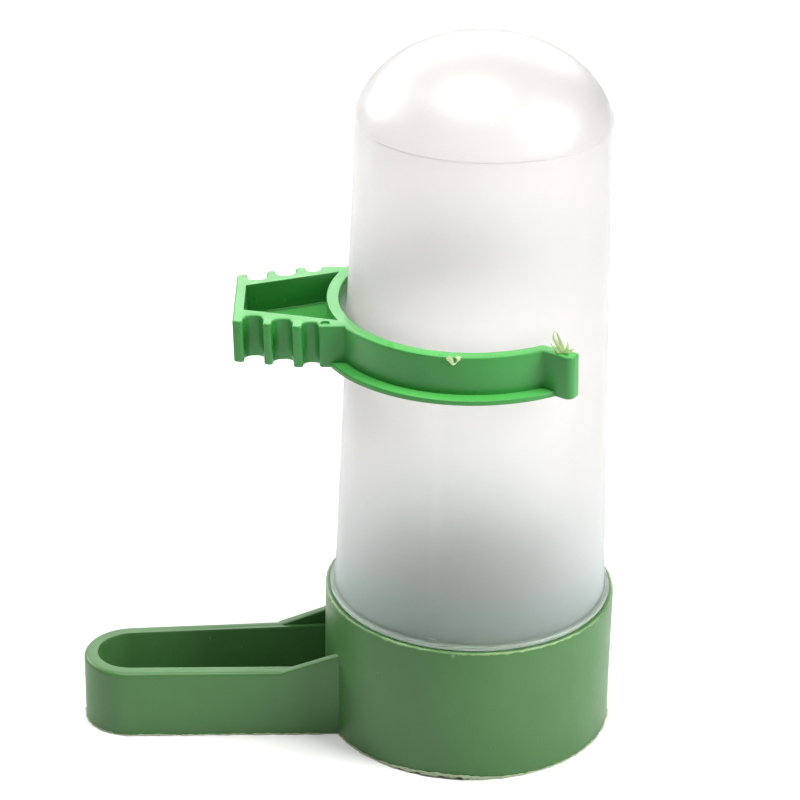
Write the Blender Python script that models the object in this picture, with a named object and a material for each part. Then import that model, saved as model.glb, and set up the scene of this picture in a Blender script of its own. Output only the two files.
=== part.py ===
"""Gravity drinker for cage birds: an upturned bottle in a cup with a trough, and a snap-on cage clip.

Frame: metres, +Z up. The origin is on the bottle's axis at the underside of the base.
The trough points along -X. The clip is modelled about its ring's centre, with its top face at
height zero, and then placed on the bottle.
"""
import math

import bmesh
import bpy
from mathutils import Matrix, Vector

MM = 0.001

# Base: the cup that holds the bottle and the trough the bird drinks from, one moulding.
CUP_RADIUS = 27.0 * MM
CUP_HEIGHT = 26.36 * MM
CUP_WALL = 1.3 * MM
CUP_DRAFT = 0.3 * MM
CUP_SEGMENTS = 80
BASE_FLOOR = 1.8 * MM
FOOT_LIP_OUT = 0.6 * MM
FOOT_LIP_HEIGHT = 0.8 * MM
TROUGH_TIP_X = -72.4 * MM
TROUGH_TIP_RADIUS = 8.95 * MM
TROUGH_CUP_HALF_WIDTH = 10.15 * MM
TROUGH_HEIGHT = 13.27 * MM
TROUGH_WALL = 2.7 * MM
TROUGH_EDGE_ROUND = 0.9 * MM
TROUGH_INTO_CUP = 5.0 * CUP_WALL
FIN_START_X = -35.5 * MM
FIN_END_X = -24.6 * MM
FIN_TOP = 16.94 * MM
FIN_OUTER_INSET = 0.05 * MM
FIN_INNER_INSET = 1.75 * MM
WINDOW_HALF_WIDTH = 5.2 * MM
WINDOW_SILL = 2.5 * MM
WINDOW_TOP = 9.5 * MM
WINDOW_INTO_CUP = 3.0 * CUP_WALL

# Bottle: a tapered, domed shell with a stop collar and an open spigot, one moulding.
BOTTLE_LOW_RADIUS = 25.27 * MM
BOTTLE_HIGH_RADIUS = 22.39 * MM
BOTTLE_WALL = 0.9 * MM
BOTTLE_SEGMENTS = 72
SHOULDER_HEIGHT = 118.3 * MM
DOME_HEIGHT = 14.6 * MM
DOME_STEPS = 9
DOME_HEIGHT_POWER = 1.75
DOME_RADIUS_POWER = 2.04
COLLAR_RADIUS = 26.16 * MM
COLLAR_LOW = CUP_HEIGHT + 0.3 * MM
COLLAR_HIGH = 27.36 * MM
SPIGOT_RADIUS = 25.15 * MM
MOUTH_RADIUS = 24.8 * MM
MOUTH_HEIGHT = 8.0 * MM

# Clip: a C ring that snaps on the bottle, and a hollow, grooved wedge that goes between cage wires.
RING_INNER = 24.2 * MM
RING_INNER_LOW = 24.45 * MM
RING_OUTER = 26.55 * MM
RING_END_ANGLE = 64.0
RING_SEGMENTS = 56
CLIP_HEIGHT = 8.0 * MM
FLANGE_RADIUS = 28.9 * MM
FLANGE_THICKNESS = 0.95 * MM
WEDGE_TIP_X = -42.95 * MM
WEDGE_TIP_HALF_WIDTH = 9.95 * MM
WEDGE_HALF_WIDTH = 12.9 * MM
WEDGE_SHOULDER_X = -31.2 * MM
POCKET_TIP_X = -41.0 * MM
POCKET_TIP_HALF_WIDTH = 5.1 * MM
POCKET_HALF_WIDTH = 10.2 * MM
POCKET_DEPTH = 5.8 * MM
GROOVE_RADIUS = 1.7 * MM
GROOVE_COUNT = 3
GROOVE_FIRST = (-39.3 * MM, 9.5 * MM)
GROOVE_LAST = (-29.0 * MM, 12.5 * MM)
CUTTER_PAST = 1.6 * MM
LIP_START = (11.15 * MM, -23.1 * MM)
LIP_END = (15.3 * MM, -25.9 * MM)
LIP_START_HALF = 1.15 * MM
LIP_END_HALF = 1.55 * MM

# Where the clip sits on the bottle: height of its top face, offset, turn and slight tilt.
CLIP_TOP = 85.3 * MM
CLIP_OFFSET = -0.63 * MM
CLIP_TURN = -3.8
CLIP_TILT_SIDE = 1.7
CLIP_TILT_TIP = -2.1

WIDE_ARC_STEPS = 20
SMALL_ARC_STEPS = 10
SMOOTH_ANGLE = math.radians(35)
MERGE_DISTANCE = 1e-6


def clear_scene():
    """Remove the startup scene's objects."""
    for item in list(bpy.data.objects):
        bpy.data.objects.remove(item, do_unlink=True)


def plastic(name, color, roughness, transmission):
    """Plain plastic for one slot, clear in part when transmission is over zero."""
    material = bpy.data.materials.new(name)
    material.use_nodes = True
    shader = material.node_tree.nodes["Principled BSDF"]
    shader.inputs["Base Color"].default_value = (*color, 1.0)
    shader.inputs["Roughness"].default_value = roughness
    shader.inputs["Metallic"].default_value = 0.0
    shader.inputs["Transmission Weight"].default_value = transmission
    return material


def arc(centre, radius, start, end, steps):
    """Points on a circle from one angle to another in degrees, both ends included."""
    points = []
    for step in range(steps + 1):
        angle = math.radians(start + (end - start) * step / steps)
        points.append((centre[0] + radius * math.cos(angle), centre[1] + radius * math.sin(angle)))
    return points


def mesh_object(name, bm):
    """Object made from a bmesh, with its faces turned outwards."""
    bmesh.ops.recalc_face_normals(bm, faces=bm.faces)
    mesh = bpy.data.meshes.new(name)
    bm.to_mesh(mesh)
    bm.free()
    made = bpy.data.objects.new(name, mesh)
    bpy.context.collection.objects.link(made)
    return made


def turned(name, profile, segments, start=0.0, sweep=360.0):
    """Solid turned about Z from a (radius, height) profile.

    A full turn takes an open profile whose ends are on the axis, or a closed one. A part turn
    takes a closed one and gets a flat end at each side.
    """
    bm = bmesh.new()
    turn = Matrix.Rotation(math.radians(start), 3, "Z")
    verts = [bm.verts.new(turn @ Vector((radius, 0.0, height))) for radius, height in profile]
    edges = [bm.edges.new(pair) for pair in zip(verts, verts[1:])]
    if profile[0][0] > 0.0:
        edges.append(bm.edges.new((verts[-1], verts[0])))
    bmesh.ops.spin(
        bm,
        geom=verts + edges,
        axis=(0.0, 0.0, 1.0),
        cent=(0.0, 0.0, 0.0),
        angle=math.radians(sweep),
        steps=segments,
        use_merge=sweep == 360.0,
    )
    bmesh.ops.remove_doubles(bm, verts=bm.verts, dist=MERGE_DISTANCE)
    ends = [edge for edge in bm.edges if edge.is_boundary]
    if ends:
        bmesh.ops.edgeloop_fill(bm, edges=ends)
    return mesh_object(name, bm)


def stacked(name, outlines):
    """Solid lofted straight up through (height, outline) levels with the same number of points."""
    bm = bmesh.new()
    rings = []
    for height, outline in outlines:
        rings.append([bm.verts.new((x, y, height)) for x, y in outline])
    count = len(rings[0])
    for low, high in zip(rings, rings[1:]):
        for index in range(count):
            following = (index + 1) % count
            bm.faces.new((low[index], low[following], high[following], high[index]))
    bm.faces.new(rings[0])
    bm.faces.new(rings[-1])
    return mesh_object(name, bm)


def prism(name, outline, low, high):
    """Solid with one outline all the way up."""
    return stacked(name, [(low, outline), (high, outline)])


def combine(target, tool, operation):
    """Add tool to target or cut it away, and keep tool as a hidden guide."""
    boolean = target.modifiers.new(tool.name, "BOOLEAN")
    boolean.operation = operation
    boolean.solver = "EXACT"
    boolean.object = tool
    tool.hide_render = True
    tool.display_type = "WIRE"


def finish(made, material):
    """Give a piece its material and smooth shading with sharp corners kept."""
    made.data.materials.append(material)
    made.data.shade_smooth()
    made.data.set_sharp_from_angle(angle=SMOOTH_ANGLE)


def trough_outline(inset, end_x):
    """Plan of the trough, inset from its outer wall: a round tip and two walls that spread."""
    centre_x = TROUGH_TIP_X + TROUGH_TIP_RADIUS
    spread = math.atan2(TROUGH_CUP_HALF_WIDTH - TROUGH_TIP_RADIUS, -CUP_RADIUS - centre_x)
    radius = TROUGH_TIP_RADIUS - inset
    lean = math.degrees(spread)
    tip = arc((centre_x, 0.0), radius, 90.0 + lean, 270.0 - lean, WIDE_ARC_STEPS)
    end_y = radius / math.cos(spread) + math.tan(spread) * (end_x - centre_x)
    return tip + [(end_x, -end_y), (end_x, end_y)]


def make_fin(side):
    """Web that rises from a trough wall's rim to the cup, on the outer part of the wall."""
    outer = trough_outline(0.0, FIN_START_X)[-1][1], trough_outline(0.0, FIN_END_X)[-1][1]
    low = TROUGH_HEIGHT - TROUGH_WALL
    bm = bmesh.new()
    faces = []
    for inset in (FIN_OUTER_INSET, FIN_INNER_INSET):
        start_y = side * (outer[0] - inset)
        end_y = side * (outer[1] - inset)
        corners = (
            (FIN_START_X, start_y, low),
            (FIN_END_X, end_y, low),
            (FIN_END_X, end_y, FIN_TOP),
            (FIN_START_X, start_y, TROUGH_HEIGHT),
        )
        faces.append([bm.verts.new(corner) for corner in corners])
    count = len(faces[0])
    for index in range(count):
        following = (index + 1) % count
        bm.faces.new((faces[0][index], faces[0][following], faces[1][following], faces[1][index]))
    bm.faces.new(faces[0])
    bm.faces.new(faces[1])
    return mesh_object("fin_guide", bm)


def make_base():
    """Cup and trough in one moulding, joined by the window low in the cup's wall."""
    cup = turned(
        "trough_base",
        (
            (0.0, 0.0),
            (CUP_RADIUS + FOOT_LIP_OUT, 0.0),
            (CUP_RADIUS + FOOT_LIP_OUT, FOOT_LIP_HEIGHT),
            (CUP_RADIUS, FOOT_LIP_HEIGHT),
            (CUP_RADIUS, CUP_HEIGHT),
            (0.0, CUP_HEIGHT),
        ),
        CUP_SEGMENTS,
    )
    inside_cup_x = -CUP_RADIUS + TROUGH_INTO_CUP
    foot = trough_outline(-FOOT_LIP_OUT, inside_cup_x + FOOT_LIP_OUT)
    wall = trough_outline(0.0, inside_cup_x)
    rounded = trough_outline(TROUGH_EDGE_ROUND, inside_cup_x)
    trough = stacked(
        "trough_guide",
        (
            (0.0, foot),
            (FOOT_LIP_HEIGHT, foot),
            (FOOT_LIP_HEIGHT, wall),
            (TROUGH_HEIGHT - TROUGH_EDGE_ROUND, wall),
            (TROUGH_HEIGHT, rounded),
        ),
    )
    hollow = trough_outline(TROUGH_WALL, 0.0)
    combine(trough, prism("trough_hollow_guide", hollow, BASE_FLOOR, CUP_HEIGHT), "DIFFERENCE")
    combine(cup, trough, "UNION")
    for side in (-1.0, 1.0):
        combine(cup, make_fin(side), "UNION")
    cup_inside = CUP_RADIUS - CUP_WALL
    well = turned(
        "cup_hollow_guide",
        (
            (0.0, BASE_FLOOR),
            (cup_inside - CUP_DRAFT, BASE_FLOOR),
            (cup_inside, CUP_HEIGHT),
            (cup_inside, CUP_HEIGHT + CUP_WALL),
            (0.0, CUP_HEIGHT + CUP_WALL),
        ),
        CUP_SEGMENTS,
    )
    combine(cup, well, "DIFFERENCE")
    low_x = -CUP_RADIUS - CUP_WALL
    high_x = -CUP_RADIUS + WINDOW_INTO_CUP
    window = (
        (low_x, -WINDOW_HALF_WIDTH),
        (high_x, -WINDOW_HALF_WIDTH),
        (high_x, WINDOW_HALF_WIDTH),
        (low_x, WINDOW_HALF_WIDTH),
    )
    combine(cup, prism("window_guide", window, WINDOW_SILL, WINDOW_TOP), "DIFFERENCE")
    finish(cup, plastic("dark_green", (0.075, 0.2, 0.07), 0.45, 0.0))
    return cup


def dome(radius, height, base):
    """Half outline of the domed end, from its foot up to the axis."""
    points = []
    for step in range(DOME_STEPS):
        rise = math.sin(0.5 * math.pi * step / DOME_STEPS)
        part = (1.0 - rise**DOME_HEIGHT_POWER) ** (1.0 / DOME_RADIUS_POWER)
        points.append((radius * part, base + height * rise))
    points.append((0.0, base + height))
    return points


def make_bottle():
    """Bottle turned from one closed outline: outside up to the dome, then back down the inside."""
    outside = [
        (MOUTH_RADIUS, MOUTH_HEIGHT),
        (SPIGOT_RADIUS, COLLAR_LOW),
        (COLLAR_RADIUS, COLLAR_LOW),
        (COLLAR_RADIUS, COLLAR_HIGH),
        (BOTTLE_LOW_RADIUS, COLLAR_HIGH),
    ]
    outside += dome(BOTTLE_HIGH_RADIUS, DOME_HEIGHT, SHOULDER_HEIGHT)
    inside = [
        (MOUTH_RADIUS - BOTTLE_WALL, MOUTH_HEIGHT),
        (BOTTLE_LOW_RADIUS - BOTTLE_WALL, COLLAR_HIGH),
    ]
    inside += dome(BOTTLE_HIGH_RADIUS - BOTTLE_WALL, DOME_HEIGHT - BOTTLE_WALL, SHOULDER_HEIGHT)
    bottle = turned("bottle", list(reversed(outside)) + inside, BOTTLE_SEGMENTS)
    finish(bottle, plastic("frosted_clear", (0.86, 0.86, 0.85), 0.5, 0.6))
    return bottle


def make_lip(side):
    """Flared end of a clip arm, thicker and rounded at its tip, that guides the ring on."""
    along = math.degrees(math.atan2(LIP_END[1] - LIP_START[1], LIP_END[0] - LIP_START[0]))
    outline = arc(LIP_START, LIP_START_HALF, along + 90.0, along + 270.0, SMALL_ARC_STEPS)
    outline += arc(LIP_END, LIP_END_HALF, along - 90.0, along + 90.0, SMALL_ARC_STEPS)
    return prism("lip_guide", [(x, -side * y) for x, y in outline], -CLIP_HEIGHT, 0.0)


def make_groove(side, index):
    """Upright U-shaped cutter for one wire groove in the wedge's side."""
    share = index / (GROOVE_COUNT - 1)
    x = GROOVE_FIRST[0] + share * (GROOVE_LAST[0] - GROOVE_FIRST[0])
    y = GROOVE_FIRST[1] + share * (GROOVE_LAST[1] - GROOVE_FIRST[1])
    outline = arc((x, y), GROOVE_RADIUS, 180.0, 360.0, SMALL_ARC_STEPS)
    end_y = WEDGE_HALF_WIDTH + CUTTER_PAST
    outline += [(x + GROOVE_RADIUS, end_y), (x - GROOVE_RADIUS, end_y)]
    outline = [(px, side * py) for px, py in outline]
    return prism("groove_guide", outline, -CLIP_HEIGHT - CUTTER_PAST, CUTTER_PAST)


def bounded_by_ring(tip_corners, half_width, radius):
    """Outline from the tip's corners back to a circle of the ring's, for the wedge or its pocket."""
    reach = math.degrees(math.asin(half_width / radius))
    return tip_corners + arc((0.0, 0.0), radius, 180.0 + reach, 180.0 - reach, WIDE_ARC_STEPS)


def make_clip():
    """C ring with its flange, two lips, and the grooved wedge with its pocket, in one moulding."""
    flange_top = -CLIP_HEIGHT + FLANGE_THICKNESS
    ring = turned(
        "cage_clip",
        (
            (RING_INNER, 0.0),
            (RING_OUTER, 0.0),
            (RING_OUTER, flange_top),
            (FLANGE_RADIUS, flange_top),
            (FLANGE_RADIUS, -CLIP_HEIGHT),
            (RING_INNER_LOW, -CLIP_HEIGHT),
        ),
        RING_SEGMENTS,
        start=RING_END_ANGLE,
        sweep=360.0 - 2.0 * RING_END_ANGLE,
    )
    middle = 0.5 * (RING_INNER_LOW + RING_OUTER)
    tip = [
        (WEDGE_SHOULDER_X, WEDGE_HALF_WIDTH),
        (WEDGE_TIP_X, WEDGE_TIP_HALF_WIDTH),
        (WEDGE_TIP_X, -WEDGE_TIP_HALF_WIDTH),
        (WEDGE_SHOULDER_X, -WEDGE_HALF_WIDTH),
    ]
    wedge = prism(
        "wedge_guide", bounded_by_ring(tip, WEDGE_HALF_WIDTH, middle), -CLIP_HEIGHT, 0.0
    )
    combine(ring, wedge, "UNION")
    for side in (-1.0, 1.0):
        combine(ring, make_lip(side), "UNION")
        for index in range(GROOVE_COUNT):
            combine(ring, make_groove(side, index), "DIFFERENCE")
    pocket_tip = [
        (POCKET_TIP_X, POCKET_TIP_HALF_WIDTH),
        (POCKET_TIP_X, -POCKET_TIP_HALF_WIDTH),
    ]
    pocket = bounded_by_ring(pocket_tip, POCKET_HALF_WIDTH, RING_OUTER)
    combine(ring, prism("pocket_guide", pocket, -POCKET_DEPTH, CLIP_HEIGHT), "DIFFERENCE")
    finish(ring, plastic("light_green", (0.1, 0.42, 0.12), 0.4, 0.0))
    return ring


def place_clip(clip):
    """Put the clip on the bottle by an empty on the bottle's axis, with all its guides."""
    seat = bpy.data.objects.new("clip_seat", None)
    bpy.context.collection.objects.link(seat)
    tilt = Matrix.Rotation(math.radians(CLIP_TILT_SIDE), 4, "X")
    tilt @= Matrix.Rotation(math.radians(CLIP_TILT_TIP), 4, "Y")
    tilt @= Matrix.Rotation(math.radians(CLIP_TURN), 4, "Z")
    pose = Matrix.Translation((CLIP_OFFSET, 0.0, CLIP_TOP)) @ tilt
    guides = [boolean.object for boolean in clip.modifiers]
    for item in [clip] + guides:
        item.parent = seat
        item.matrix_local = pose


clear_scene()
make_base()
make_bottle()
place_clip(make_clip())
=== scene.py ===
"""Looks of a cage-bird drinker: fine mouldings, flash, plastics, studio light and camera.

Everything is in metres in the CAD frame: +Z up, origin on the bottle's axis at the underside of
the base, trough along -X. The clip is made about its ring's centre and then set on the bottle.
"""
import math

import bmesh
import bpy
from mathutils import Matrix, Vector, noise


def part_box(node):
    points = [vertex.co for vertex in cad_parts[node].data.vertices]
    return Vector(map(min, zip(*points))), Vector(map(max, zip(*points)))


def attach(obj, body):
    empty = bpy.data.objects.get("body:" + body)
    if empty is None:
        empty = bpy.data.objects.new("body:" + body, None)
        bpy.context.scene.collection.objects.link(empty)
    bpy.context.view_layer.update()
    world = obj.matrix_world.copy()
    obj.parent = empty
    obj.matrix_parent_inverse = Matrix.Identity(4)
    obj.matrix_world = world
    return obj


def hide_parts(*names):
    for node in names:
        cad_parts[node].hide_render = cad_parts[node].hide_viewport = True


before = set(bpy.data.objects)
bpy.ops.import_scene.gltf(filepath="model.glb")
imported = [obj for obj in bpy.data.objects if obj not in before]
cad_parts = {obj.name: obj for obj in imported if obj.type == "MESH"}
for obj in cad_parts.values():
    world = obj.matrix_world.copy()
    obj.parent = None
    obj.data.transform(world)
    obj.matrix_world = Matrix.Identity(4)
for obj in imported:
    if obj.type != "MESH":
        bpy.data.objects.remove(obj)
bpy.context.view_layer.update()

MM = 0.001

# Camera: where it stands, its turn to the right, its downward tilt, its roll and its lens.
CAMERA_PLACE = (-50.2 * MM, -442.1 * MM, 272.5 * MM)
CAMERA_TURN = -0.0824
CAMERA_DOWN = 0.4387
CAMERA_ROLL = 0.018
CAMERA_LENS = 121.39
CAMERA_SENSOR = 36.0
CAMERA_CLIP_START = 0.01

# Small measures: vertices closer than MERGE are one, and corners sharper than SHARP stay sharp.
MERGE = 1e-7
SHARP = math.radians(40)

# Base.
CUP_RADIUS = 27.0 * MM
CUP_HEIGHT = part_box("trough_base")[1][2]
CUP_WALL = 1.3 * MM
CUP_DRAFT = 0.3 * MM
CUP_RIM_ROUND = 0.25 * MM
CUP_SEGMENTS = 180
BASE_FLOOR = 1.8 * MM
FOOT_ROUND = 0.15 * MM
TROUGH_TIP_X = -72.4 * MM
TROUGH_TIP_RADIUS = 8.95 * MM
TROUGH_CUP_HALF_WIDTH = 10.15 * MM
TROUGH_HEIGHT = 13.27 * MM
TROUGH_WALL = 2.7 * MM
TROUGH_EDGE = 0.9 * MM
TROUGH_INNER_FLARE = 0.35 * MM
TROUGH_FLOOR_ROUND = 1.2 * MM
TROUGH_INTO_CUP = 5.0 * CUP_WALL
FIN_START_X = -35.5 * MM
FIN_END_X = -24.6 * MM
FIN_TOP = 16.94 * MM
FIN_INSET = 0.03 * MM
FIN_THICKNESS = 1.7 * MM
FIN_EDGE = 0.35 * MM
WINDOW_HALF_WIDTH = 5.2 * MM
WINDOW_SILL = 2.5 * MM
WINDOW_TOP = 9.5 * MM
WINDOW_INTO_CUP = 3.0 * CUP_WALL

# Flash left at the mould's parting lines: how far out and how high it comes, the angle about which
# the foot's is thickest, over how wide an angle, and where it has lifted off the floor.
FOOT_FLASH_OUT = 0.58 * MM
FOOT_FLASH_HIGH = 0.8 * MM
FOOT_FLASH_THICK_AT = -104.0
FOOT_FLASH_THICK_SPREAD = 20.0
FOOT_FLASH_LIFTED = (-124.0, -97.0)
RIM_FLASH_RADIUS = 26.7 * MM
RIM_FLASH_OUT = 0.42 * MM
RIM_FLASH_SEGMENTS = 480
RIM_DRIP_ANGLE = -102.0
RIM_DRIP_SPREAD = 0.9
FLASH_STEP = 0.35 * MM
FLASH_BURIED = 0.12 * MM

# Bottle.
BOTTLE_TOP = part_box("bottle")[1][2]
MOUTH_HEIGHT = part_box("bottle")[0][2]
BOTTLE_LOW_RADIUS = 25.27 * MM
BOTTLE_HIGH_RADIUS = 22.39 * MM
BOTTLE_WALL = 0.9 * MM
BOTTLE_SEGMENTS = 160
SHOULDER_HEIGHT = 118.3 * MM
DOME_HEIGHT_POWER = 1.75
DOME_RADIUS_POWER = 2.04
DOME_START = SHOULDER_HEIGHT + 1.6 * MM
SEAM_STEP = 0.32 * MM
SEAM_GROOVE = 0.2 * MM
COLLAR_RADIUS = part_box("bottle")[1][0]
COLLAR_LOW = CUP_HEIGHT + 0.3 * MM
COLLAR_HIGH = 27.36 * MM
SPIGOT_RADIUS = 25.15 * MM
MOUTH_RADIUS = 24.8 * MM
GATE_TAB_ANGLE = -111.0
GATE_TAB_SIZE = (0.35 * MM, 1.7 * MM, 0.9 * MM)
GATE_TAB_CORNER = 0.15 * MM

# Clip, about its ring's centre with its top face at height zero. Grooves: place along X, half
# width and how far from the middle their bottom is.
RING_INNER = 24.2 * MM
RING_DRAFT = 0.25 * MM
RING_OUTER = 26.55 * MM
CLIP_HEIGHT = 8.0 * MM
CLIP_EDGE = 0.38 * MM
FLANGE_RADIUS = 28.9 * MM
FLANGE_THICKNESS = 0.95 * MM
FLANGE_ROOT = RING_OUTER - 1.0 * MM
FLANGE_AT_WEDGE = 26.0
WEDGE_TIP_X = -42.95 * MM
WEDGE_TIP_HALF = 9.95 * MM
WEDGE_HALF = 12.9 * MM
WEDGE_SHOULDER_X = -31.2 * MM
POCKET_TIP = (-41.0 * MM, 5.1 * MM)
POCKET_HALF = 10.2 * MM
POCKET_DEPTH = 5.8 * MM
POCKET_ROUND = 0.3 * MM
POCKET_BEVEL = 0.2 * MM
GROOVES = (
    (-39.3 * MM, 1.75 * MM, 7.7 * MM),
    (-34.15 * MM, 1.8 * MM, 9.35 * MM),
    (-29.15 * MM, 1.4 * MM, 10.9 * MM),
)
GROOVE_FOOT_SHARE = 0.85
RIDGE_ROUND = 0.56 * MM
WEDGE_TIP_ROUND = 0.6 * MM
LIP_START = (11.15 * MM, -23.1 * MM)
LIP_END = (15.3 * MM, -25.9 * MM)
LIP_END_HALF = 1.55 * MM
LIP_OUTER_ROOT = 66.0
LIP_INNER_ROOT = 63.0
PIN_MARK = (-26.58 * MM, -11.5 * MM)
PIN_MARK_RADIUS = 0.87 * MM
GATE_SCAR = (-4.4 * MM, -26.2 * MM, -0.25 * MM)
TUFT_ROOT = (13.9 * MM, -25.2 * MM, -0.2 * MM)
CLIP_PLACE = (-0.63 * MM, 0.0, 85.3 * MM)
CLIP_TURN = -3.8
CLIP_TILT_SIDE = 1.7
CLIP_TILT_TIP = -2.1

# Opaque plastics: main colour, colour of the deeper clouds, specks, the range of roughness, and
# where they are set, the specular level and the paler colour painted on faces that look up as light
# from above.
DARK_GREEN = {
    "colour": (0.052, 0.146, 0.043),
    "deep": (0.045, 0.131, 0.037),
    "speck": (0.25, 0.38, 0.2),
    "rough": (0.32, 0.46),
    "gloss": 0.34,
}
PALE_FLASH = {
    "colour": (0.31, 0.36, 0.24),
    "deep": (0.2, 0.25, 0.15),
    "speck": (0.6, 0.65, 0.45),
    "rough": (0.4, 0.6),
}
RIM_FLASH = {
    "colour": (0.26, 0.38, 0.18),
    "deep": (0.08, 0.18, 0.06),
    "speck": (0.4, 0.5, 0.3),
    "rough": (0.35, 0.55),
}
LIGHT_GREEN = {
    "colour": (0.03, 0.222, 0.038),
    "deep": (0.026, 0.2, 0.033),
    "speck": (0.3, 0.6, 0.25),
    "rough": (0.26, 0.38),
    "gloss": 0.42,
    # Painted highlight: paler colour on faces that look up, standing in for the overhead light.
    "painted_top_light": (0.06, 0.33, 0.065),
}
TORN_FLASH = {
    "colour": (0.6, 0.73, 0.4),
    "deep": (0.46, 0.63, 0.28),
    "speck": (0.75, 0.82, 0.5),
    "rough": (0.4, 0.6),
}
PLASTIC_IOR = 1.49

# Frosted plastic: its colour from the spigot up, with painted shade from the collar to the low wall
# and at the crown, and its roughness and coat, body then dome.
SPIGOT_COLOUR = (0.88, 0.92, 0.91)
# Painted shade: the collar, foot and low colours darken and cool the wall towards the bottom, the
# collar grey-green.
COLLAR_SHADE_COLOUR = (0.6, 0.69, 0.6)
FOOT_SHADE_COLOUR = (0.77, 0.86, 0.84)
LOW_SHADE_COLOUR = (0.9, 0.93, 0.93)
BODY_COLOURS = ((0.905, 0.89, 0.882), (0.93, 0.915, 0.905))
# Painted shade: the crown colour darkens the top of the dome against the overhead light.
CROWN_SHADE_COLOUR = (0.83, 0.812, 0.80)
FROST_ROUGH = (0.5, 0.44)
FROST_COAT = (0.04, 0.22)
FROST_COAT_ROUGH = 0.26
FROST_TRANSMISSION = 0.9
FROST_GLOSS = 0.35

# Studio.
FLOOR_HALF_SIZE = 3.0
FLOOR_TONES = ((0.69, 0.69, 0.69), (0.71, 0.71, 0.71))
FLOOR_ROUGH = 0.9
WORLD_STRENGTH = 0.08
WARM_WHITE = (1.0, 0.985, 0.97)
LIGHT_TARGET = Vector((0.0, 0.0, 60.0 * MM))


# ---- shapes -------------------------------------------------------------------------------------

def arc(centre, radius, start, end, steps):
    """Points on a circle from one angle to another in degrees, both ends included."""
    angles = [math.radians(start + (end - start) * step / steps) for step in range(steps + 1)]
    return [(centre[0] + radius * math.cos(a), centre[1] + radius * math.sin(a)) for a in angles]


def rounded(corners, closed=True, steps=5):
    """Outline through (x, y, radius) corners, each one replaced by an arc of its radius."""
    points = []
    count = len(corners)
    for index, (x, y, radius) in enumerate(corners):
        at_end = not closed and index in (0, count - 1)
        if radius <= 0.0 or at_end:
            points.append((x, y))
            continue
        corner = Vector((x, y))
        before = Vector(corners[index - 1][:2]) - corner
        after = Vector(corners[(index + 1) % count][:2]) - corner
        half = 0.5 * before.angle(after)
        before.normalize()
        after.normalize()
        reach = radius / math.tan(half)
        centre = corner + (before + after).normalized() * (radius / math.sin(half))
        first = corner + before * reach - centre
        last = corner + after * reach - centre
        sweep = first.angle_signed(last)
        for step in range(steps + 1):
            turn = Matrix.Rotation(-sweep * step / steps, 2)
            point = centre + turn @ first
            points.append((point.x, point.y))
    return points


def outward(outline):
    """Mitred outward directions of an anticlockwise outline, one for each point."""
    count = len(outline)
    spots = [Vector(point) for point in outline]
    sides = []
    for index in range(count):
        along = (spots[(index + 1) % count] - spots[index]).normalized()
        sides.append(Vector((along.y, -along.x)))
    directions = []
    for index in range(count):
        mitre = (sides[index - 1] + sides[index]).normalized()
        directions.append(mitre / max(mitre.dot(sides[index]), 0.6))
    return directions


def inset(outline, distance):
    """Outline moved inwards by a distance."""
    return [
        (x - distance * way.x, y - distance * way.y)
        for (x, y), way in zip(outline, outward(outline))
    ]


def edge_levels(low, high, round_low, round_high, steps=4):
    """(height, inset) pairs up a wall with a rounded lower and upper edge."""
    angles = [0.5 * math.pi * step / steps for step in range(steps + 1)]
    levels = []
    for angle in angles:
        height = low + round_low * (1 - math.cos(angle))
        levels.append((height, round_low * (1 - math.sin(angle))))
    for angle in angles:
        height = high - round_high * (1 - math.sin(angle))
        levels.append((height, round_high * (1 - math.cos(angle))))
    return levels


def mesh_object(name, bm):
    """Object made from a bmesh, with its faces turned outwards."""
    bmesh.ops.remove_doubles(bm, verts=bm.verts, dist=MERGE)
    bmesh.ops.recalc_face_normals(bm, faces=bm.faces)
    mesh = bpy.data.meshes.new(name)
    bm.to_mesh(mesh)
    bm.free()
    made = bpy.data.objects.new(name, mesh)
    bpy.context.collection.objects.link(made)
    return made


def join_rings(bm, rings, loop):
    """Quads between rings of vertices. loop also joins the last ring to the first."""
    pairs = list(zip(rings, rings[1:]))
    if loop:
        pairs.append((rings[-1], rings[0]))
    for low, high in pairs:
        for index in range(len(low)):
            after = (index + 1) % len(low)
            bm.faces.new((low[index], low[after], high[after], high[index]))


def loft(name, outline, levels):
    """Closed solid through (height, inset) levels of an outline."""
    bm = bmesh.new()
    rings = []
    for height, distance in levels:
        level = inset(outline, distance) if distance else outline
        rings.append([bm.verts.new((x, y, height)) for x, y in level])
    join_rings(bm, rings, loop=False)
    bm.faces.new(rings[0])
    bm.faces.new(rings[-1])
    return mesh_object(name, bm)


def turned(name, profile, segments, start=0.0, sweep=360.0):
    """Solid turned about Z from a (radius, height) profile, closed or with both ends on the axis."""
    bm = bmesh.new()
    turn = Matrix.Rotation(math.radians(start), 3, "Z")
    verts = [bm.verts.new(turn @ Vector((radius, 0.0, height))) for radius, height in profile]
    edges = [bm.edges.new(pair) for pair in zip(verts, verts[1:])]
    if profile[0][0] > 0.0:
        edges.append(bm.edges.new((verts[-1], verts[0])))
    bmesh.ops.spin(
        bm,
        geom=verts + edges,
        axis=(0.0, 0.0, 1.0),
        cent=(0.0, 0.0, 0.0),
        angle=math.radians(sweep),
        steps=segments,
        use_merge=sweep == 360.0,
    )
    bmesh.ops.remove_doubles(bm, verts=bm.verts, dist=MERGE)
    ends = [edge for edge in bm.edges if edge.is_boundary]
    if ends:
        bmesh.ops.edgeloop_fill(bm, edges=ends)
    return mesh_object(name, bm)


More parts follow.
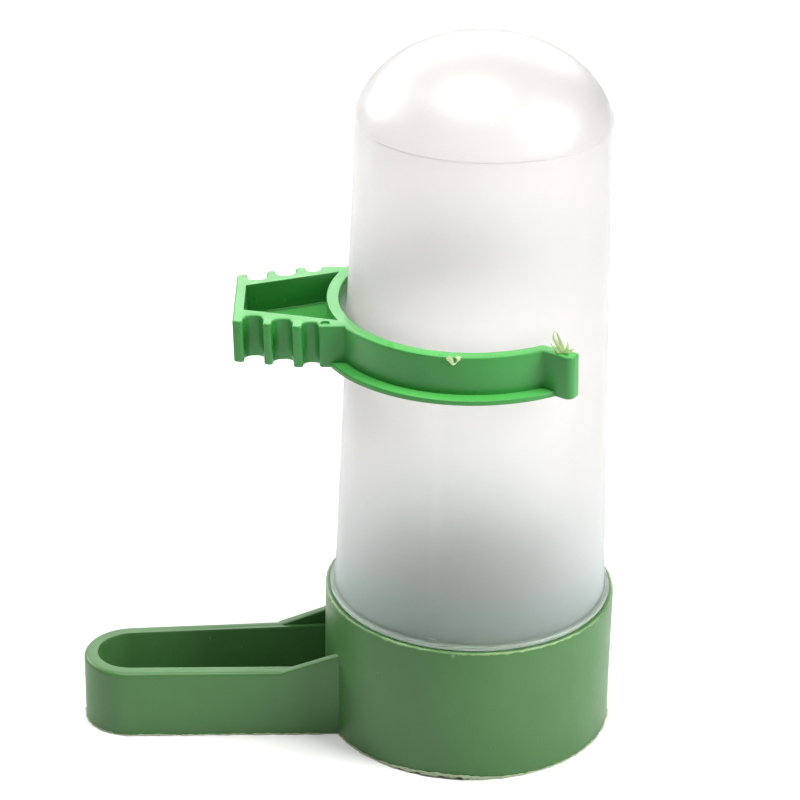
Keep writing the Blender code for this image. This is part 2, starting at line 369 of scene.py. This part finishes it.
def combine(target, tool, operation):
    """Join tool to target, or cut it out of it, and remove tool."""
    boolean = target.modifiers.new("boolean", "BOOLEAN")
    boolean.operation = operation
    boolean.solver = "MANIFOLD"
    boolean.object = tool
    graph = bpy.context.evaluated_depsgraph_get()
    mesh = bpy.data.meshes.new_from_object(target.evaluated_get(graph))
    target.modifiers.clear()
    target.data = mesh
    bpy.data.objects.remove(tool, do_unlink=True)


def dress(piece, material, body, slot, *nodes):
    """Finish a piece: smooth shading, material, body and the CAD nodes it stands for. slot is not
    used.
    """
    piece.data.materials.clear()
    piece.data.materials.append(material)
    piece.data.shade_smooth()
    piece.data.set_sharp_from_angle(angle=SHARP)
    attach(piece, body)
    if nodes:
        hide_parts(*nodes)


# ---- materials ----------------------------------------------------------------------------------

class Nodes:
    """Short hand for building a material's node tree."""

    def __init__(self, name):
        self.material = bpy.data.materials.new(name)
        self.material.use_nodes = True
        self.tree = self.material.node_tree
        self.shader = self.tree.nodes["Principled BSDF"]
        self.place = self.tree.nodes.new("ShaderNodeTexCoord").outputs["Object"]

    def add(self, kind, **values):
        """New node of a kind, with its properties."""
        node = self.tree.nodes.new(kind)
        for key, value in values.items():
            setattr(node, key, value)
        return node

    def link(self, source, target):
        self.tree.links.new(source, target)

    def noise(self, scale, detail=3.0, stretch=(1.0, 1.0, 1.0)):
        """Noise in object space, with scale in features per metre."""
        mapping = self.add("ShaderNodeMapping")
        mapping.inputs["Scale"].default_value = stretch
        self.link(self.place, mapping.inputs["Vector"])
        texture = self.add("ShaderNodeTexNoise")
        texture.inputs["Scale"].default_value = scale
        texture.inputs["Detail"].default_value = detail
        texture.inputs["Roughness"].default_value = 0.55
        self.link(mapping.outputs["Vector"], texture.inputs["Vector"])
        return texture.outputs["Fac"]

    def span(self, value, low, high, to_low=0.0, to_high=1.0):
        """Map a value's range low to high onto another range, held at its ends."""
        node = self.add("ShaderNodeMapRange")
        node.inputs["From Min"].default_value = low
        node.inputs["From Max"].default_value = high
        node.inputs["To Min"].default_value = to_low
        node.inputs["To Max"].default_value = to_high
        self.link(value, node.inputs["Value"])
        return node.outputs["Result"]

    def mix(self, factor, first, second):
        """Mix of two colours, each a tuple or another node's output."""
        node = self.add("ShaderNodeMix", data_type="RGBA")
        self.link(factor, node.inputs["Factor"])
        for socket, colour in ((node.inputs["A"], first), (node.inputs["B"], second)):
            if isinstance(colour, tuple):
                socket.default_value = (*colour, 1.0)
            else:
                self.link(colour, socket)
        return node.outputs["Result"]

    def specks(self, scale, size):
        """1 in small round specks, in about one cell of five, and 0 elsewhere."""
        cells = self.add("ShaderNodeTexVoronoi", feature="F1")
        cells.inputs["Scale"].default_value = scale
        self.link(self.place, cells.inputs["Vector"])
        near = self.span(cells.outputs["Distance"], size, size * 0.6)
        chosen = self.add("ShaderNodeSeparateColor")
        self.link(cells.outputs["Color"], chosen.inputs["Color"])
        picked = self.span(chosen.outputs["Red"], 0.8, 0.85)
        both = self.add("ShaderNodeMath", operation="MULTIPLY")
        self.link(near, both.inputs[0])
        self.link(picked, both.inputs[1])
        return both.outputs["Value"]

    def bump(self, height, distance):
        """Fine relief on the surface, distance high."""
        node = self.add("ShaderNodeBump")
        node.inputs["Distance"].default_value = distance
        self.link(height, node.inputs["Height"])
        self.link(node.outputs["Normal"], self.shader.inputs["Normal"])


def moulded_plastic(name, colour, deep, speck, rough, gloss=0.5, painted_top_light=None):
    """Moulded opaque plastic: clouded colour, pale specks, uneven gloss and a fine matt skin.

    Painted top light: a paler colour, if given, goes on faces that look up, where the overhead light
    falls.
    """
    made = Nodes(name)
    clouds = made.noise(scale=45.0, detail=4.0)
    base = made.mix(made.span(clouds, 0.35, 0.65), deep, colour)
    # Painted light: faces that look up get the paler colour, as if lit from above.
    if painted_top_light:
        facing = made.add("ShaderNodeSeparateXYZ")
        made.link(made.add("ShaderNodeNewGeometry").outputs["Normal"], facing.inputs["Vector"])
        base = made.mix(made.span(facing.outputs["Z"], 0.8, 0.98), base, painted_top_light)
    base = made.mix(made.specks(scale=330.0, size=0.045), base, speck)
    made.link(base, made.shader.inputs["Base Color"])
    patches = made.noise(scale=140.0, detail=5.0)
    made.link(made.span(patches, 0.3, 0.7, *rough), made.shader.inputs["Roughness"])
    made.bump(made.noise(scale=2600.0, detail=2.0), 0.03 * MM)
    made.shader.inputs["IOR"].default_value = PLASTIC_IOR
    made.shader.inputs["Specular IOR Level"].default_value = gloss
    return made.material


def frosted_plastic():
    """Translucent natural plastic: frosted body with painted shade low down and at the crown,
    glossier dome above the parting line.
    """
    made = Nodes("frosted_clear")
    split = made.add("ShaderNodeSeparateXYZ")
    made.link(made.place, split.inputs["Vector"])
    height = split.outputs["Z"]
    flow = made.noise(scale=60.0, detail=4.0, stretch=(1.0, 1.0, 0.25))
    upper = made.mix(made.span(flow, 0.3, 0.7), *BODY_COLOURS)
    # Painted shade towards the bottom: a grey-green collar, then a darker, cooler foot and a cooler
    # lower wall.
    in_collar = made.span(height, COLLAR_LOW - 0.3 * MM, COLLAR_LOW)
    collar = made.mix(in_collar, SPIGOT_COLOUR, COLLAR_SHADE_COLOUR)
    above_collar = made.span(height, COLLAR_HIGH - 0.1 * MM, COLLAR_HIGH + 0.5 * MM)
    foot = made.mix(above_collar, collar, FOOT_SHADE_COLOUR)
    lower = made.mix(made.span(height, 29.0 * MM, 38.0 * MM), foot, LOW_SHADE_COLOUR)
    wall = made.mix(made.span(height, 34.0 * MM, 54.0 * MM), lower, upper)
    # Painted shade: the dome darkens towards its crown, holding back the overhead light.
    crown = made.span(height, SHOULDER_HEIGHT - 6.0 * MM, SHOULDER_HEIGHT + 14.0 * MM)
    made.link(made.mix(crown, wall, CROWN_SHADE_COLOUR), made.shader.inputs["Base Color"])
    dome = made.span(height, SHOULDER_HEIGHT, SHOULDER_HEIGHT + 0.2 * MM)
    made.link(made.span(dome, 0.0, 1.0, *FROST_ROUGH), made.shader.inputs["Roughness"])
    made.link(made.span(dome, 0.0, 1.0, *FROST_COAT), made.shader.inputs["Coat Weight"])
    made.bump(made.noise(scale=1800.0, detail=3.0), 0.02 * MM)
    made.shader.inputs["Coat Roughness"].default_value = FROST_COAT_ROUGH
    made.shader.inputs["Transmission Weight"].default_value = FROST_TRANSMISSION
    made.shader.inputs["Specular IOR Level"].default_value = FROST_GLOSS
    made.shader.inputs["IOR"].default_value = PLASTIC_IOR
    return made.material


# ---- base ---------------------------------------------------------------------------------------

def trough_corners(margin, end_x):
    """Plan of the trough, inset from its outer wall: a round tip and two walls that spread."""
    centre_x = TROUGH_TIP_X + TROUGH_TIP_RADIUS
    spread = math.atan2(TROUGH_CUP_HALF_WIDTH - TROUGH_TIP_RADIUS, -CUP_RADIUS - centre_x)
    radius = TROUGH_TIP_RADIUS - margin
    lean = math.degrees(spread)
    tip = arc((centre_x, 0.0), radius, 90.0 + lean, 270.0 - lean, steps=40)
    end_y = radius / math.cos(spread) + math.tan(spread) * (end_x - centre_x)
    return tip + [(end_x, -end_y), (end_x, end_y)]


def make_fin(side):
    """Web that rises from a trough wall's rim to the cup, with a rounded top edge."""
    low = TROUGH_HEIGHT - TROUGH_WALL
    outline = rounded(
        (
            (FIN_START_X, low, 0.0),
            (FIN_END_X, low, 0.0),
            (FIN_END_X, FIN_TOP, 0.3 * MM),
            (FIN_START_X, TROUGH_HEIGHT, 0.0),
        )
    )
    fin = loft("fin", outline, edge_levels(0.0, FIN_THICKNESS, FIN_EDGE, FIN_EDGE))
    start_y = trough_corners(FIN_INSET, FIN_START_X)[-1][1]
    end_y = trough_corners(FIN_INSET, FIN_END_X)[-1][1]
    spread = math.atan2(end_y - start_y, FIN_END_X - FIN_START_X)
    stand = Matrix.Rotation(math.radians(90.0), 4, "X")
    swing = Matrix.Rotation(side * spread, 4, "Z")
    if side < 0.0:
        shift = Matrix.Translation((0.0, 0.0, -FIN_THICKNESS))
    else:
        shift = Matrix.Identity(4)
    hinge = Matrix.Translation((FIN_START_X, side * start_y, 0.0))
    to_hinge = Matrix.Translation((-FIN_START_X, 0.0, 0.0))
    fin.data.transform(hinge @ swing @ stand @ shift @ to_hinge)
    return fin


def make_trough():
    """Trough with its hollow, long enough to reach into the cup."""
    end_x = -CUP_RADIUS + TROUGH_INTO_CUP
    levels = edge_levels(0.0, TROUGH_HEIGHT, FOOT_ROUND, TROUGH_EDGE, steps=6)
    trough = loft("trough", trough_corners(0.0, end_x), levels)
    steps = 5
    floor = edge_levels(BASE_FLOOR, TROUGH_HEIGHT, TROUGH_FLOOR_ROUND, 0.0, steps)[:steps + 1]
    mouth = [
        (TROUGH_HEIGHT - 0.3 * MM, 0.0),
        (TROUGH_HEIGHT + 0.2 * MM, -TROUGH_INNER_FLARE),
        (CUP_HEIGHT, -TROUGH_INNER_FLARE),
    ]
    combine(trough, loft("hollow", trough_corners(TROUGH_WALL, 0.0), floor + mouth), "DIFFERENCE")
    return trough


def make_well():
    """Cutter for the inside of the cup, flared where it rounds the inner edge of the rim."""
    inner = CUP_RADIUS - CUP_WALL
    profile = rounded(
        (
            (0.0, BASE_FLOOR, 0.0),
            (inner - CUP_DRAFT, BASE_FLOOR, 0.8 * MM),
            (inner, CUP_HEIGHT - CUP_RIM_ROUND, 0.0),
            (inner + CUP_RIM_ROUND, CUP_HEIGHT + CUP_RIM_ROUND, 0.0),
            (0.0, CUP_HEIGHT + CUP_RIM_ROUND, 0.0),
        ),
        closed=False,
    )
    return turned("well", profile, CUP_SEGMENTS)


def make_window():
    """Cutter for the window that lets water from the cup into the trough."""
    low_x = -CUP_RADIUS - CUP_WALL
    high_x = -CUP_RADIUS + WINDOW_INTO_CUP
    plan = (
        (low_x, -WINDOW_HALF_WIDTH),
        (high_x, -WINDOW_HALF_WIDTH),
        (high_x, WINDOW_HALF_WIDTH),
        (low_x, WINDOW_HALF_WIDTH),
    )
    return loft("window", plan, [(WINDOW_SILL, 0.0), (WINDOW_TOP, 0.0)])


def make_base(material):
    """Cup, trough and webs in one moulding."""
    outside = rounded(
        (
            (0.0, 0.0, 0.0),
            (CUP_RADIUS, 0.0, FOOT_ROUND),
            (CUP_RADIUS, CUP_HEIGHT, CUP_RIM_ROUND),
            (0.0, CUP_HEIGHT, 0.0),
        ),
        closed=False,
    )
    base = turned("base_moulding", outside, CUP_SEGMENTS)
    combine(base, make_trough(), "UNION")
    for side in (-1.0, 1.0):
        combine(base, make_fin(side), "UNION")
    combine(base, make_well(), "DIFFERENCE")
    combine(base, make_window(), "DIFFERENCE")
    dress(base, material, "base", "dark_green_plastic", "trough_base")


def resampled(outline, step):
    """Closed outline with points about one step apart."""
    points = []
    for index, start in enumerate(outline):
        a = Vector(start)
        b = Vector(outline[(index + 1) % len(outline)])
        parts = max(1, round((b - a).length / step))
        points += [tuple(a.lerp(b, part / parts)) for part in range(parts)]
    return points


def ragged(point, scale, seed):
    """Noise from 0 to 1 at a point, with scale in bumps per millimetre."""
    spot = Vector((point[0], point[1], 0.0)) * (scale / MM)
    value = noise.fractal(spot + Vector((seed, 0.0, 0.0)), 0.9, 2.0, 3)
    return min(1.0, max(0.0, 0.5 + 0.8 * value))


def flash_band(name, outline, sizes):
    """Ragged band along a closed outline. sizes gives each point's (out, low, high)."""
    bm = bmesh.new()
    rings = []
    for point, way in zip(outline, outward(outline)):
        out, low, high = sizes(point)
        sides = (
            (-FLASH_BURIED, low),
            (0.8 * out, low),
            (out, 0.6 * low + 0.4 * high),
            (0.7 * out, high),
            (-FLASH_BURIED, high),
        )
        ring = [bm.verts.new((point[0] + d * way.x, point[1] + d * way.y, z)) for d, z in sides]
        rings.append(ring)
    join_rings(bm, rings, loop=True)
    return mesh_object(name, bm)


def foot_sizes(point):
    """Foot flash at one point: thin and ragged, thicker in front, lifted off the floor in places."""
    angle = math.degrees(math.atan2(point[1], point[0]))
    on_cup = math.hypot(*point) < CUP_RADIUS + 1.0 * MM
    from_thick = (angle - FOOT_FLASH_THICK_AT) / FOOT_FLASH_THICK_SPREAD
    front = math.exp(-(from_thick ** 2)) if on_cup else 0.0
    out = FOOT_FLASH_OUT * (0.12 + 0.38 * front + 0.5 * ragged(point, 0.55, 3.0))
    high = FOOT_FLASH_HIGH * (0.12 + 0.9 * front + 0.38 * ragged(point, 0.8, 11.0))
    lift = ragged(point, 0.5, 29.0)
    if on_cup and FOOT_FLASH_LIFTED[0] < angle < FOOT_FLASH_LIFTED[1]:
        return out, 0.75 * high * lift, high
    return out, 0.6 * high * max(0.0, 3.0 * (lift - 0.66)), high


def rim_sizes(point):
    """Rim flash at one point, with one drip."""
    angle = math.degrees(math.atan2(point[1], point[0]))
    drip = math.exp(-((angle - RIM_DRIP_ANGLE) / RIM_DRIP_SPREAD) ** 2)
    out = RIM_FLASH_OUT * (0.45 + 0.4 * ragged(point, 0.6, 53.0))
    low = CUP_HEIGHT - (0.08 + 0.3 * ragged(point, 1.1, 61.0) + 0.9 * drip) * MM
    high = CUP_HEIGHT + 0.14 * ragged(point, 0.8, 71.0) * MM
    return out + 0.12 * drip * MM, low, high


def make_base_flash(material, rim_material):
    """The pale flash at the base's foot and along the cup's rim."""
    meet = 180.0 - math.degrees(math.asin(TROUGH_CUP_HALF_WIDTH / CUP_RADIUS))
    cup = arc((0.0, 0.0), CUP_RADIUS, -meet, meet, steps=120)
    trough = trough_corners(0.0, cup[-1][0])[:-2]
    foot = flash_band("foot_flash", resampled(cup + trough, FLASH_STEP), foot_sizes)
    dress(foot, material, "base", "dark_green_plastic")
    circle = arc((0.0, 0.0), RIM_FLASH_RADIUS, -180.0, 180.0, RIM_FLASH_SEGMENTS)[:-1]
    rim = flash_band("rim_flash", circle, rim_sizes)
    dress(rim, rim_material, "base", "dark_green_plastic")


# ---- bottle -------------------------------------------------------------------------------------

def dome_points(radius, height, foot, steps=28):
    """Half outline of the domed end, from its foot up to the axis."""
    points = []
    for step in range(steps):
        rise = math.sin(0.5 * math.pi * step / steps)
        part = (1.0 - rise ** DOME_HEIGHT_POWER) ** (1.0 / DOME_RADIUS_POWER)
        points.append((radius * part, foot + height * rise))
    points.append((0.0, foot + height))
    return points


def make_gate_tab():
    """Small leftover of the moulding gate, standing on the collar."""
    depth, width, height = GATE_TAB_SIZE
    plan = (
        (-depth, -0.5 * width, GATE_TAB_CORNER),
        (depth, -0.5 * width, GATE_TAB_CORNER),
        (depth, 0.5 * width, GATE_TAB_CORNER),
        (-depth, 0.5 * width, GATE_TAB_CORNER),
    )
    base = COLLAR_HIGH - 0.2 * MM
    levels = [(base, 0.0), (base + 0.7 * height, 0.02 * MM), (base + height, 0.14 * MM)]
    tab = loft("gate_tab", rounded(plan, steps=3), levels)
    shift = Matrix.Translation((BOTTLE_LOW_RADIUS + 0.15 * MM, 0.0, 0.0))
    tab.data.transform(Matrix.Rotation(math.radians(GATE_TAB_ANGLE), 4, "Z") @ shift)
    return tab


def bottle_outside(height):
    """Half outline of the outside, from the mouth's edge up to the top of the dome."""
    groove_radius = BOTTLE_HIGH_RADIUS - SEAM_GROOVE
    lower = rounded(
        (
            (MOUTH_RADIUS - 0.5 * BOTTLE_WALL, MOUTH_HEIGHT, 0.0),
            (MOUTH_RADIUS, MOUTH_HEIGHT, 0.2 * MM),
            (SPIGOT_RADIUS, COLLAR_LOW, 0.1 * MM),
            (COLLAR_RADIUS, COLLAR_LOW, 0.15 * MM),
            (COLLAR_RADIUS, COLLAR_HIGH, 0.25 * MM),
            (BOTTLE_LOW_RADIUS, COLLAR_HIGH, 0.3 * MM),
            (BOTTLE_HIGH_RADIUS, SHOULDER_HEIGHT - 0.45 * MM, 0.05 * MM),
            (groove_radius, SHOULDER_HEIGHT - 0.25 * MM, 0.0),
            (groove_radius, SHOULDER_HEIGHT - 0.1 * MM, 0.0),
            (BOTTLE_HIGH_RADIUS + SEAM_STEP, SHOULDER_HEIGHT, 0.05 * MM),
            (BOTTLE_HIGH_RADIUS + SEAM_STEP * 0.9, SHOULDER_HEIGHT + 0.5 * MM, 0.2 * MM),
        ),
        closed=False,
    )
    dome = dome_points(BOTTLE_HIGH_RADIUS, height, SHOULDER_HEIGHT)
    return lower + [point for point in dome if point[1] > DOME_START]


def bottle_inside(height):
    """Half outline of the inside, from the top of the dome down to the mouth."""
    dome = dome_points(BOTTLE_HIGH_RADIUS - BOTTLE_WALL, height - BOTTLE_WALL, SHOULDER_HEIGHT)
    dome.reverse()
    return dome + [
        (BOTTLE_LOW_RADIUS - BOTTLE_WALL, COLLAR_HIGH),
        (MOUTH_RADIUS - BOTTLE_WALL, MOUTH_HEIGHT + 0.2 * MM),
        (MOUTH_RADIUS - 0.7 * BOTTLE_WALL, MOUTH_HEIGHT),
    ]


def make_bottle(material):
    """Bottle turned from its two outlines, with the leftover of the gate."""
    dome_height = BOTTLE_TOP - SHOULDER_HEIGHT
    profile = bottle_inside(dome_height) + bottle_outside(dome_height)
    bottle = turned("bottle_shell", profile, BOTTLE_SEGMENTS)
    combine(bottle, make_gate_tab(), "UNION")
    dress(bottle, material, "bottle", "frosted_clear_plastic", "bottle")


# ---- clip ---------------------------------------------------------------------------------------

def groove_corners(groove):
    """Corners of one wire groove in the +Y side of the wedge, from the tip end on."""
    x, half, valley = groove
    foot_radius = GROOVE_FOOT_SHARE * half
    return [
        (x - half, wedge_side(x - half), RIDGE_ROUND),
        (x - half, valley, foot_radius),
        (x + half, valley, foot_radius),
        (x + half, wedge_side(x + half), RIDGE_ROUND),
    ]


def wedge_side(x):
    """Half width of the wedge at x, over the ridges."""
    slope = (WEDGE_HALF - WEDGE_TIP_HALF) / (WEDGE_SHOULDER_X - WEDGE_TIP_X)
    return min(WEDGE_HALF, WEDGE_TIP_HALF + slope * (x - WEDGE_TIP_X))


def on_circle(radius, angle, rounding):
    """Outline corner on a circle about the ring's centre, at an angle in degrees."""
    turn = math.radians(angle)
    return (radius * math.cos(turn), radius * math.sin(turn), rounding)


def lip_corners():
    """Corners of the front lip: its outer root, its end's two edges and its inner root."""
    way = (Vector(LIP_END) - Vector(LIP_START)).normalized()
    side = Vector((-way.y, way.x))
    end = Vector(LIP_END) + way * LIP_END_HALF * 0.8
    outer_end = end - side * LIP_END_HALF
    inner_end = end + side * LIP_END_HALF
    return [
        on_circle(RING_OUTER, -LIP_OUTER_ROOT, 0.9 * MM),
        (outer_end.x, outer_end.y, 1.35 * MM),
        (inner_end.x, inner_end.y, 0.7 * MM),
        on_circle(RING_INNER, -LIP_INNER_ROOT, 0.8 * MM),
    ]


def clip_outline():
    """Plan of the clip, anticlockwise: the rear outer side, the front one, then the inside."""
    join = math.degrees(math.asin(WEDGE_HALF / RING_OUTER))
    ring = arc((0.0, 0.0), RING_OUTER, LIP_OUTER_ROOT + 5.0, 180.0 - join, steps=60)
    rear = [(x, y, 0.0) for x, y in ring]
    for groove in reversed(GROOVES):
        rear += reversed(groove_corners(groove))
    rear.append((WEDGE_TIP_X, WEDGE_TIP_HALF, WEDGE_TIP_ROUND))
    front = [(x, -y, rounding) for x, y, rounding in reversed(rear)]
    front_lip = lip_corners()
    rear_lip = [(x, -y, rounding) for x, y, rounding in reversed(front_lip)]
    bore_end = LIP_INNER_ROOT + 3.0
    bore = arc((0.0, 0.0), RING_INNER, 360.0 - bore_end, bore_end, steps=110)
    return rounded(rear + front + front_lip + [(x, y, 0.0) for x, y in bore] + rear_lip)


def wander(seed, along):
    """Vector of smooth noise, the same in every run, for one shred at one place along it."""
    return Vector([noise.noise(Vector((seed, along, 9.0 * axis))) for axis in range(3)])


def blade(bm, root, way, length, width, seed):
    """One curved, tapered shred of flash that grows from root."""
    steps = 7
    across = way.cross(Vector((0.3, 1.0, 0.2))).normalized()
    thick = way.cross(across).normalized()
    rings = []
    for step in range(steps + 1):
        share = step / steps
        size = width * (1.0 - share) ** 0.7 + 0.03 * MM
        bend = wander(seed, 1.3 * share) * (0.3 * share * length)
        middle = root + way * (share * length) + bend
        corners = ((-size, 0.0), (0.0, -0.35 * size), (size, 0.0), (0.0, 0.35 * size))
        rings.append([bm.verts.new(middle + across * a + thick * b) for a, b in corners])
    join_rings(bm, rings, loop=False)
    bm.faces.new(rings[0])
    bm.faces.new(rings[-1])


def clip_pose():
    """Where the clip stands on the bottle, a little crooked."""
    tilt = Matrix.Rotation(math.radians(CLIP_TILT_SIDE), 4, "X")
    tilt @= Matrix.Rotation(math.radians(CLIP_TILT_TIP), 4, "Y")
    tilt @= Matrix.Rotation(math.radians(CLIP_TURN), 4, "Z")
    return Matrix.Translation(CLIP_PLACE) @ tilt


def make_clip_flash(material):
    """Torn flash on the clip: a tuft on the front lip and a V-shaped scar on the ring's edge.

    Each shred has its place from the root in millimetres, its way, length and width.
    """
    tuft = (
        ((0.1, 0.0, 0.0), (-0.45, 0.1, 1.0), 4.6, 0.5),
        ((0.4, 0.1, 0.0), (-0.25, 0.1, 1.0), 3.6, 0.5),
        ((-0.5, 0.1, 0.0), (-0.6, 0.0, 1.0), 2.6, 0.42),
        ((0.9, 0.0, 0.0), (0.1, -0.1, 1.0), 2.3, 0.42),
        ((1.4, 0.0, 0.0), (0.45, -0.1, 1.0), 1.3, 0.4),
        ((0.3, -0.2, 0.0), (0.1, -0.4, 0.9), 1.5, 0.6),
        ((-0.3, -0.2, 0.0), (-0.4, -0.5, 0.8), 1.3, 0.5),
        ((0.8, -0.3, 0.0), (0.2, -0.6, 0.6), 1.1, 0.5),
    )
    scar = (
        ((-0.8, 0.0, 0.1), (0.55, -0.12, -1.0), 1.5, 0.6),
        ((0.8, 0.0, 0.1), (-0.55, -0.02, -1.0), 1.5, 0.6),
        ((-0.7, 0.0, 0.1), (-0.8, -0.1, 0.2), 0.7, 0.6),
        ((0.6, 0.0, 0.1), (0.8, -0.1, 0.3), 0.7, 0.6),
    )
    bm = bmesh.new()
    for root, shreds, seed_step, seed_start in (
        (TUFT_ROOT, tuft, 7.3, 0.0),
        (GATE_SCAR, scar, 5.1, 2.0),
    ):
        for index, (shift, way, length, width) in enumerate(shreds):
            start = Vector(root) + Vector(shift) * MM
            seed = seed_step * index + seed_start
            blade(bm, start, Vector(way).normalized(), length * MM, width * MM, seed)
    flash = mesh_object("clip_flash", bm)
    flash.data.transform(clip_pose())
    dress(flash, material, "clip", "light_green_plastic")


def draft_bore(clip):
    """Widen the ring's bore evenly towards its lower edge."""
    for vertex in clip.data.vertices:
        radius = math.hypot(vertex.co.x, vertex.co.y)
        if radius < RING_INNER + 0.5 * MM:
            grow = 1.0 - RING_DRAFT * vertex.co.z / (CLIP_HEIGHT * radius)
            vertex.co.x *= grow
            vertex.co.y *= grow


def make_flange(start, sweep):
    """Part of the flange along the ring's lower edge, from one angle on."""
    low = -CLIP_HEIGHT
    high = low + FLANGE_THICKNESS
    profile = rounded(
        (
            (FLANGE_ROOT, low, 0.0),
            (FLANGE_RADIUS, low, 0.2 * MM),
            (FLANGE_RADIUS, high, 0.3 * MM),
            (FLANGE_ROOT, high, 0.0),
        )
    )
    return turned("flange", profile, 60, start=start, sweep=sweep)


def make_pocket():
    """Cutter for the wedge's pocket, with a small bevel at the pocket's floor and mouth."""
    reach = math.degrees(math.asin(POCKET_HALF / RING_OUTER))
    back = arc((0.0, 0.0), RING_OUTER, 180.0 + reach, 180.0 - reach, steps=30)
    corners = [
        (POCKET_TIP[0], POCKET_TIP[1], POCKET_ROUND),
        (POCKET_TIP[0], -POCKET_TIP[1], POCKET_ROUND),
    ]
    corners += [(x, y, 0.0) for x, y in back]
    levels = [
        (-POCKET_DEPTH, POCKET_ROUND),
        (-POCKET_DEPTH + POCKET_ROUND, 0.0),
        (-POCKET_BEVEL, 0.0),
        (0.1 * MM, -POCKET_BEVEL),
        (CLIP_HEIGHT, -POCKET_BEVEL),
    ]
    return loft("pocket", rounded(corners), levels)


def make_pin_mark():
    """Cutter for the shallow round mark of an ejector pin."""
    levels = [(-0.3 * MM, 0.05 * MM), (-0.05 * MM, 0.0), (0.1 * MM, -0.1 * MM)]
    return loft("pin_mark", arc(PIN_MARK, PIN_MARK_RADIUS, 0.0, 345.0, steps=23), levels)


def make_clip(material):
    """Ring, lips, flange and grooved wedge in one moulding."""
    levels = edge_levels(-CLIP_HEIGHT, 0.0, 0.3 * MM, CLIP_EDGE)
    clip = loft("clip_moulding", clip_outline(), levels)
    draft_bore(clip)
    lip_end = LIP_OUTER_ROOT - 3.5
    sweep = 180.0 - FLANGE_AT_WEDGE - lip_end
    for start in (lip_end, 180.0 + FLANGE_AT_WEDGE):
        combine(clip, make_flange(start, sweep), "UNION")
    combine(clip, make_pocket(), "DIFFERENCE")
    combine(clip, make_pin_mark(), "DIFFERENCE")
    clip.data.transform(clip_pose())
    dress(clip, material, "clip", "light_green_plastic", "cage_clip")


# ---- stage, light and camera --------------------------------------------------------------------

def make_floor():
    """Wide sheet of plain pale paper."""
    bm = bmesh.new()
    bmesh.ops.create_grid(bm, x_segments=1, y_segments=1, size=FLOOR_HALF_SIZE)
    floor = mesh_object("studio_floor", bm)
    made = Nodes("white_paper")
    tone = made.span(made.noise(scale=8.0), 0.3, 0.7)
    made.link(made.mix(tone, *FLOOR_TONES), made.shader.inputs["Base Color"])
    made.shader.inputs["Roughness"].default_value = FLOOR_ROUGH
    floor.data.materials.append(made.material)


def softbox(name, azimuth, elevation, distance, size, power, colour=(1.0, 1.0, 1.0)):
    """Soft light aimed at the object. Azimuth runs from the front (0) to the right (90)."""
    around = math.radians(azimuth)
    up = math.radians(elevation)
    level = math.cos(up)
    way = Vector((math.sin(around) * level, -math.cos(around) * level, math.sin(up)))
    light = bpy.data.lights.new(name, "AREA")
    light.shape = "RECTANGLE"
    light.size, light.size_y = size
    light.energy = power
    light.color = colour
    lamp = bpy.data.objects.new(name, light)
    bpy.context.collection.objects.link(lamp)
    lamp.location = LIGHT_TARGET + way * distance
    lamp.rotation_euler = (-way).to_track_quat("-Z", "Y").to_euler()


def make_light():
    """Dim white surroundings and four softboxes, the one overhead a little warm."""
    world = bpy.data.worlds.new("studio")
    bpy.context.scene.world = world
    world.use_nodes = True
    background = world.node_tree.nodes["Background"]
    background.inputs["Color"].default_value = (1.0, 1.0, 1.0, 1.0)
    background.inputs["Strength"].default_value = WORLD_STRENGTH
    softbox("top_softbox", -55.0, 80.0, 0.9, (0.6, 0.55), 9.4, WARM_WHITE)
    softbox("right_softbox", 64.0, 36.0, 0.8, (0.35, 0.35), 10.2)
    softbox("back_softbox", 176.0, 30.0, 0.9, (1.1, 0.5), 6.0)
    softbox("left_back_softbox", -126.0, 24.0, 0.8, (0.25, 0.3), 4.6)


def make_camera():
    """Camera at the photo's angle, and colours shown without a film curve."""
    camera = bpy.data.objects.new("camera", bpy.data.cameras.new("camera"))
    bpy.context.collection.objects.link(camera)
    camera.data.lens = CAMERA_LENS
    camera.data.sensor_width = CAMERA_SENSOR
    camera.data.clip_start = CAMERA_CLIP_START
    aim = Matrix.Rotation(CAMERA_TURN, 4, "Z")
    aim @= Matrix.Rotation(0.5 * math.pi - CAMERA_DOWN, 4, "X")
    aim @= Matrix.Rotation(CAMERA_ROLL, 4, "Z")
    camera.matrix_world = Matrix.Translation(CAMERA_PLACE) @ aim
    bpy.context.scene.camera = camera
    bpy.context.scene.view_settings.view_transform = "Standard"


make_camera()
make_light()
make_floor()
make_base(moulded_plastic("dark_green", **DARK_GREEN))
make_base_flash(
    moulded_plastic("pale_flash", **PALE_FLASH),
    moulded_plastic("rim_flash", **RIM_FLASH),
)
make_bottle(frosted_plastic())
make_clip(moulded_plastic("light_green", **LIGHT_GREEN))
make_clip_flash(moulded_plastic("torn_flash", **TORN_FLASH))
